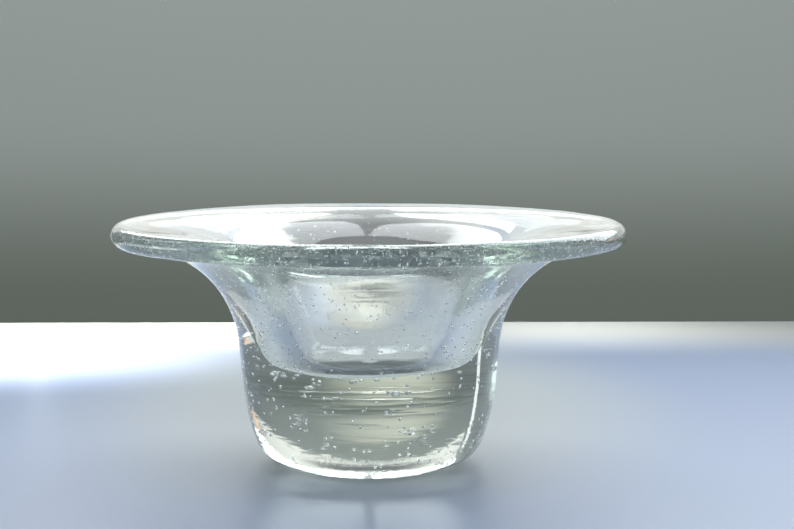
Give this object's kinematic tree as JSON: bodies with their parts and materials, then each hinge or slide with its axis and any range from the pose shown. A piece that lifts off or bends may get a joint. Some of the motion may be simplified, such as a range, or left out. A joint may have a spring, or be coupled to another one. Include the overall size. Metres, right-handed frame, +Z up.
{
  "type": "crystallizing dish",
  "caption": "Heavy round dish of clear seeded glass: a deep rounded well in a very thick base, under a wide flared brim with a full round edge.",
  "frame": {"origin": "centre of the flat foot, on the surface the dish stands on", "axes": "+Z up along the dish's axis, from the foot to the mouth; +X and +Y along any two diameters, because the dish is round"},
  "size_m": [0.175, 0.175, 0.0843],
  "materials": {
    "clear_glass": "clear polished glass with a faint grey-green tint, full of small air seeds"
  },
  "bodies": {
    "root": {"glass_dish": "clear_glass"}
  },
  "joints": []
}
